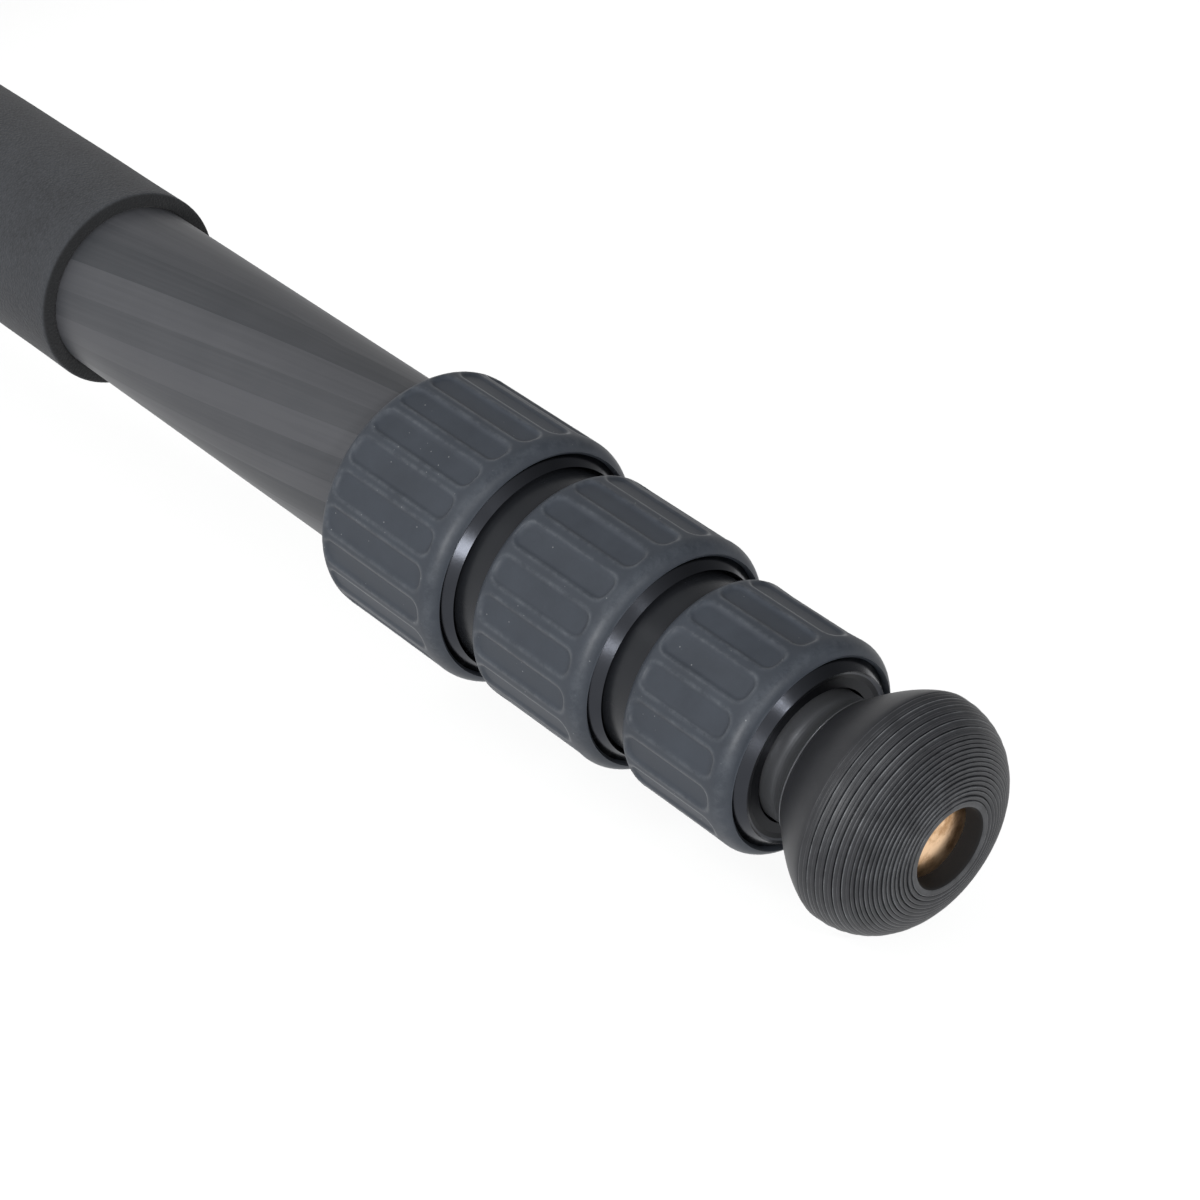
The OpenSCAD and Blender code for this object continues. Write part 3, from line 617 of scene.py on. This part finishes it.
class TRIPOD_OT_foam_sleeves(bpy.types.Operator):
    """Makes the foam sleeves of the three legs, a little uneven and rounded at their ends."""
    bl_idname = "tripod.foam_sleeves"
    bl_label = "Foam sleeves"

    def execute(self, context):
        ri, ro, z0, z1 = span("leg_1_foam_grip", 1)
        skin = [(ro, z0 + 1 + (z1 - z0 - 2) * k / 60) for k in range(61)]
        profile = [(ri, z0 + FOAM_INNER),
                   *arc(ri + FOAM_INNER, z0 + FOAM_INNER, FOAM_INNER, -180, -90, 4),
                   *arc(ro - FOAM_OUTER, z0 + FOAM_OUTER, FOAM_OUTER, -90, 0, 6),
                   *skin,
                   *arc(ro - FOAM_OUTER, z1 - FOAM_OUTER, FOAM_OUTER, 0, 90, 6),
                   *arc(ri + FOAM_INNER, z1 - FOAM_INNER, FOAM_INNER, 90, 180, 4)]
        bm = turned(profile, steps=128)
        # The skin waves a little, about every 70 and every 27 mm
        for v in bm.verts:
            radius = math.hypot(v.co.x, v.co.y)
            if radius > ro - FOAM_OUTER - 0.1:
                wave = math.sin(v.co.z * 0.09 + 2 * math.atan2(v.co.y, v.co.x)) + math.sin(v.co.z * 0.23)
                share = (radius - 2 * FOAM_WAVE + FOAM_WAVE * wave) / radius
                v.co.x *= share
                v.co.y *= share
        for leg in LEG_ANGLE:
            piece = seat(bm, f"foam_sleeve_{leg}", leg_place(leg), crease=60)
            finish_as(piece, sleeve_foam(leg))
            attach(piece, f"leg_{leg}_upper")
            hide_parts(f"leg_{leg}_foam_grip")
        bm.free()
        return {"FINISHED"}


def foot_profile(ri, ro, z0, z1, sizes):
    """Closed profile of the foot, and how close each of its points is to a rib's edge."""
    wide = z1 - sizes.foot_dome
    hole = sizes.foot_hole
    neck = ro - FOOT_FLARE
    flare = [(neck + (ro - neck) * (t + math.sin(math.pi / 2 * t)) / 2, z0 + (wide - z0) * t, 0.0)
             for t in (k / 16 for k in range(16))]

    def dome(turn, inset):
        a = math.radians(turn)
        power = 2 / sizes.foot_fullness
        return (hole + (ro - hole - inset) * max(math.cos(a), 0) ** power,
                wide + (sizes.foot_dome - inset) * max(math.sin(a), 0) ** power)

    # Grooves at an even pitch: outside, every second one is hardly there, and near the hole all are cut
    step = RIB_SPAN / sizes.foot_ribs
    ribs = [(*dome(0.4, 0), 0.0)]
    for k in range(sizes.foot_ribs + 1):
        outer = k * step < COARSE_RIBS
        strong = k % 2 == (0 if outer else 1) and k > 0
        sink = sizes.rib_depth * ((1.0 if strong else 0.14) if outer else (0.75 if strong else 0.5))
        wear_and_highlight_share = (1.0 if strong else 0.25) if outer else 0.55
        stretch = 1.0 if strong else 0.7
        turn = RIB_START + k * step
        for share, deep, edge in GROOVE:
            if share > 0.5 and k == sizes.foot_ribs:
                continue
            ribs.append((*dome(turn + share * stretch * step, deep * sink), edge * wear_and_highlight_share))
    mouth = [(x, y, 0.2) for x, y in arc(hole + FOOT_MOUTH, z1 - FOOT_MOUTH, FOOT_MOUTH, 90, 180, 5)]
    bore = [(r, z1 - depth, 0.0) for r, depth in zip((hole, hole, ri), BORE_DEPTHS)]
    return [(ri, z0, 0.0), *flare, *ribs, *mouth, *bore]


class TRIPOD_OT_feet(bpy.types.Operator):
    """Moulds the three ribbed rubber feet."""
    bl_idname = "tripod.feet"
    bl_label = "Feet"

    def execute(self, context):
        sizes = context.scene.tripod_sizes
        ri, ro, z0, z1 = span("leg_1_foot_rubber", 1)
        profile = foot_profile(ri, ro, z0, z1, sizes)
        bm = turned([(r, z) for r, z, edge in profile], steps=160)
        bm.verts.index_update()
        near = {(round(r, 3), round(z, 3)): edge for r, z, edge in profile}
        edges = {v.index: near.get((round(math.hypot(v.co.x, v.co.y), 3), round(v.co.z, 3)), 0.0)
                 for v in bm.verts}
        for leg in LEG_ANGLE:
            piece = seat(bm, f"foot_{leg}", leg_place(leg), crease=60)
            mark_edges(piece, edges)
            finish_as(piece, foot_rubber(leg))
            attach(piece, f"leg_{leg}_section_4")
            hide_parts(f"leg_{leg}_foot_rubber")
        bm.free()
        return {"FINISHED"}


class TRIPOD_OT_foot_plugs(bpy.types.Operator):
    """Turns the bronze plugs at the bottom of the feet's holes, with a low crown on each."""
    bl_idname = "tripod.foot_plugs"
    bl_label = "Foot plugs"

    def execute(self, context):
        crown = context.scene.tripod_sizes.plug_crown
        ro, z0, z1 = span("leg_1_foot_plug", 1)[1:]
        face = [(ro * (1 - t), z1 + crown * (1 - (1 - t) ** 2)) for t in (k / 12 for k in range(13))]
        bm = turned([(0, z0), (ro, z0), *face], steps=96, closed=False)
        for leg in LEG_ANGLE:
            piece = seat(bm, f"plug_{leg}", leg_place(leg))
            finish_as(piece, tarnished_bronze(leg))
            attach(piece, f"leg_{leg}_section_4")
            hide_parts(f"leg_{leg}_foot_plug")
        bm.free()
        return {"FINISHED"}


class TRIPOD_OT_leg_metal(bpy.types.Operator):
    """Finishes the tubes, nuts, collars, tabs and castings of the legs."""
    bl_idname = "tripod.leg_metal"
    bl_label = "Leg tubes and metal"

    def execute(self, context):
        nodes = frame["nodes"]
        sizes = context.scene.tripod_sizes
        coat = powder_coat()
        for leg in LEG_ANGLE:
            nut = turned_metal("black anodised aluminium", "#3c3e43", roughness=0.2, ripple=0.05, leg=leg)
            # Nut 3's lip is matt, with painted shade darkening it
            lipped = turned_metal("black anodised aluminium, lip left matt", "#3c3e43", roughness=0.2,
                                  ripple=0.05, leg=leg, shaded_matt_inside=sizes.shaded_lip_radius)
            collar = turned_metal("bead-blasted grey aluminium", "#7d7f83", roughness=0.34, ripple=0.1,
                                  leg=leg, metallic=0.7)
            tab = turned_metal("satin aluminium", "#8f9296", roughness=0.36, ripple=0.1, leg=leg)
            for n in (1, 2, 3, 4):
                finish_as(nodes[f"leg_{leg}_tube_{n}"], carbon_tube(leg, n))
            for n in (1, 2, 3):
                finish_as(nodes[f"leg_{leg}_lock_nut_{n}"], lipped if n == 3 else nut)
            finish_as(nodes[f"leg_{leg}_foot_collar"], collar)
            finish_as(nodes[f"leg_{leg}_stop_tab"], tab)
            finish_as(nodes[f"leg_{leg}_casting"], coat)
        return {"FINISHED"}


class TRIPOD_OT_hub(bpy.types.Operator):
    """Finishes the hub, its platform, knob, level, cap and hook."""
    bl_idname = "tripod.hub"
    bl_label = "Hub"

    def execute(self, context):
        nodes = frame["nodes"]
        coat = bpy.data.materials["black powder coat"]
        steel = turned_metal("turned steel", "#b4b6b9", roughness=0.28, ripple=0.1)
        dark_steel = turned_metal("oil-blackened steel", "#4a4b4e", roughness=0.4, ripple=0.1)
        bare = turned_metal("polished aluminium", "#a3a6aa", roughness=0.25, ripple=0.06)
        black = moulded_plastic("black nylon", "#1d1e20", roughness=0.5)
        washer = moulded_plastic("white acetal", "#cfcdc6", roughness=0.4)
        for name, finish in (("spider", coat), ("head_platform", coat), ("pivot_bolts", steel),
                             ("pivot_washers", washer), ("head_stud", steel), ("head_set_screws", dark_steel),
                             ("clamp_knob", black), ("clamp_screw", steel), ("level_housing", black),
                             ("level_vial", level_glass()), ("base_cap", black), ("ballast_hook", bare)):
            finish_as(nodes[name], finish)
        return {"FINISHED"}


# Studio

def bare_view(tree):
    """Socket that is 1 where the camera sees a surface, straight or by way of metal or glass."""
    ray = add(tree, "LightPath").outputs
    seen = reckon(tree, "MAXIMUM", ray["Is Camera Ray"], ray["Is Transmission Ray"])
    return reckon(tree, "MAXIMUM", seen, ray["Is Glossy Ray"])


def aim(thing, place, target):
    """Sets a lamp in its place, turned to its target."""
    thing.location = place
    thing.rotation_euler = (Vector(target) - Vector(place)).to_track_quat("-Z", "Y").to_euler()


class TRIPOD_OT_studio(bpy.types.Operator):
    """Lays the floor, and sets the sky, the lamps and the camera."""
    bl_idname = "tripod.studio"
    bl_label = "Studio"

    def execute(self, context):
        scene = context.scene
        studio = scene.tripod_studio
        scene.view_settings.view_transform = "Standard"
        low = cad_box[0][2]

        bm = bmesh.new()
        bmesh.ops.create_grid(bm, x_segments=1, y_segments=1, size=FLOOR_HALF)
        mesh = bpy.data.meshes.new("floor")
        bm.to_mesh(mesh)
        bm.free()
        mesh.transform(Matrix.Translation((0, 0, low)))
        floor = bpy.data.objects.new("floor", mesh)
        scene.collection.objects.link(floor)
        paper = bpy.data.materials.new("white paper")
        paper.use_nodes = True
        tree = paper.node_tree
        shader = tree.nodes["Principled BSDF"]
        feed(tree, shader, {"Base Color": shade("#a0a0a0"), "Roughness": 1.0, "Specular IOR Level": 0.0})
        # Metal and glass see a white floor, and the camera sees the white world through it and its shadows
        # on it, so that legs folded down past the floor still show
        white = add(tree, "Emission", {"Color": (1, 1, 1, 1), "Strength": FLOOR_WHITE})
        clear = add(tree, "BsdfTransparent", {"Color": (FLOOR_WHITE, FLOOR_WHITE, FLOOR_WHITE, 1)})
        ray = add(tree, "LightPath").outputs["Is Camera Ray"]
        under = add(tree, "MixShader", {0: ray, 1: white.outputs[0], 2: clear.outputs[0]})
        lit = add(tree, "AddShader", {0: shader.outputs[0], 1: under.outputs[0]})
        shown = add(tree, "MixShader", {0: bare_view(tree), 1: shader.outputs[0], 2: lit.outputs[0]})
        tree.links.new(shown.outputs[0], tree.nodes["Material Output"].inputs["Surface"])
        finish_as(floor, paper)

        world = bpy.data.worlds.new("studio")
        scene.world = world
        world.use_nodes = True
        tree = world.node_tree
        # The studio's ceiling is darker than its walls, and so is the far corner on the right. Straight
        # to the camera all of it is white
        level = spread(tree, bare_view(tree), 0.0, 1.0, start=studio.sky, end=1.0)
        way = add(tree, "TexCoord").outputs["Generated"]
        ceiling = spread(tree, along_axis(tree, way), 0.3, 0.85, start=1.0, end=CEILING_LIGHT)
        nearness = add(tree, "VectorMath", {0: way, 1: CORNER_WAY}, operation="DOT_PRODUCT").outputs["Value"]
        corner = spread(tree, nearness, 0.35, 0.95, start=1.0, end=CORNER_LIGHT)
        dimmed = reckon(tree, "MULTIPLY", level, reckon(tree, "MULTIPLY", ceiling, corner))
        straight = add(tree, "LightPath").outputs["Is Camera Ray"]
        feed(tree, tree.nodes["Background"], {"Color": (1, 1, 1, 1),
                                              "Strength": reckon(tree, "MAXIMUM", dimmed, straight)})

        turn = Matrix.Rotation(math.radians(studio.azimuth), 4, "Z")
        tilt = Matrix.Rotation(math.radians(90 - studio.elevation), 4, "X")
        look = (turn @ tilt).to_3x3()
        right, down, forward = studio.foot_offset
        foot = leg_place(1) @ Vector((0, 0, span("leg_1_foot_rubber", 1)[3] * MM))
        camera = bpy.data.objects.new("camera", bpy.data.cameras.new("camera"))
        scene.collection.objects.link(camera)
        spot = foot - look @ Vector((right, -down, -forward))
        camera.matrix_world = Matrix.Translation(spot) @ look.to_4x4()
        camera.data.lens = studio.focal_length
        camera.data.sensor_width = 36
        camera.data.clip_start = 0.01
        scene.camera = camera

        for name, side, height, size, power in (("key lamp", -150, 10, 0.55, studio.key),
                                                ("fill lamp", -105, 30, 0.16, studio.fill),
                                                ("rim lamp", 160, 48, 0.6, studio.rim)):
            lamp = bpy.data.lights.new(name, "AREA")
            lamp.shape = "DISK"
            lamp.size = size
            lamp.energy = power
            thing = bpy.data.objects.new(name, lamp)
            thing.visible_camera = False
            scene.collection.objects.link(thing)
            way = Matrix.Rotation(math.radians(side), 3, "Z") @ Matrix.Rotation(-math.radians(height), 3, "Y")
            aim(thing, foot + way @ Vector((LAMP_REACH, 0, 0)), foot)
        return {"FINISHED"}


class TRIPOD_PT_pieces(bpy.types.Panel):
    """Lists what the add-on makes, with its settings."""
    bl_label = "Camera tripod"
    bl_space_type = "VIEW_3D"
    bl_region_type = "UI"
    bl_category = "Tripod"

    def draw(self, context):
        for operator in (TRIPOD_OT_studio, TRIPOD_OT_leg_metal, TRIPOD_OT_hub, TRIPOD_OT_lock_grips,
                         TRIPOD_OT_foam_sleeves, TRIPOD_OT_feet, TRIPOD_OT_foot_plugs):
            self.layout.operator(operator.bl_idname)
        scene = context.scene
        for settings in (scene.tripod_sizes, scene.tripod_colours, scene.tripod_studio):
            box = self.layout.box()
            for name in settings.__annotations__:
                box.prop(settings, name)


CLASSES = (TripodSizes, TripodColours, StudioSettings, TRIPOD_OT_studio, TRIPOD_OT_leg_metal, TRIPOD_OT_hub,
           TRIPOD_OT_lock_grips, TRIPOD_OT_foam_sleeves, TRIPOD_OT_feet, TRIPOD_OT_foot_plugs,
           TRIPOD_PT_pieces)


def register():
    for item in CLASSES:
        bpy.utils.register_class(item)
    bpy.types.Scene.tripod_sizes = PointerProperty(type=TripodSizes)
    bpy.types.Scene.tripod_colours = PointerProperty(type=TripodColours)
    bpy.types.Scene.tripod_studio = PointerProperty(type=StudioSettings)


def unregister():
    del bpy.types.Scene.tripod_studio
    del bpy.types.Scene.tripod_colours
    del bpy.types.Scene.tripod_sizes
    for item in reversed(CLASSES):
        bpy.utils.unregister_class(item)


def main():
    register()
    bpy.ops.tripod.studio()
    bpy.ops.tripod.leg_metal()
    bpy.ops.tripod.hub()
    bpy.ops.tripod.lock_grips()
    bpy.ops.tripod.foam_sleeves()
    bpy.ops.tripod.feet()
    bpy.ops.tripod.foot_plugs()


if __name__ == "__main__":
    main()
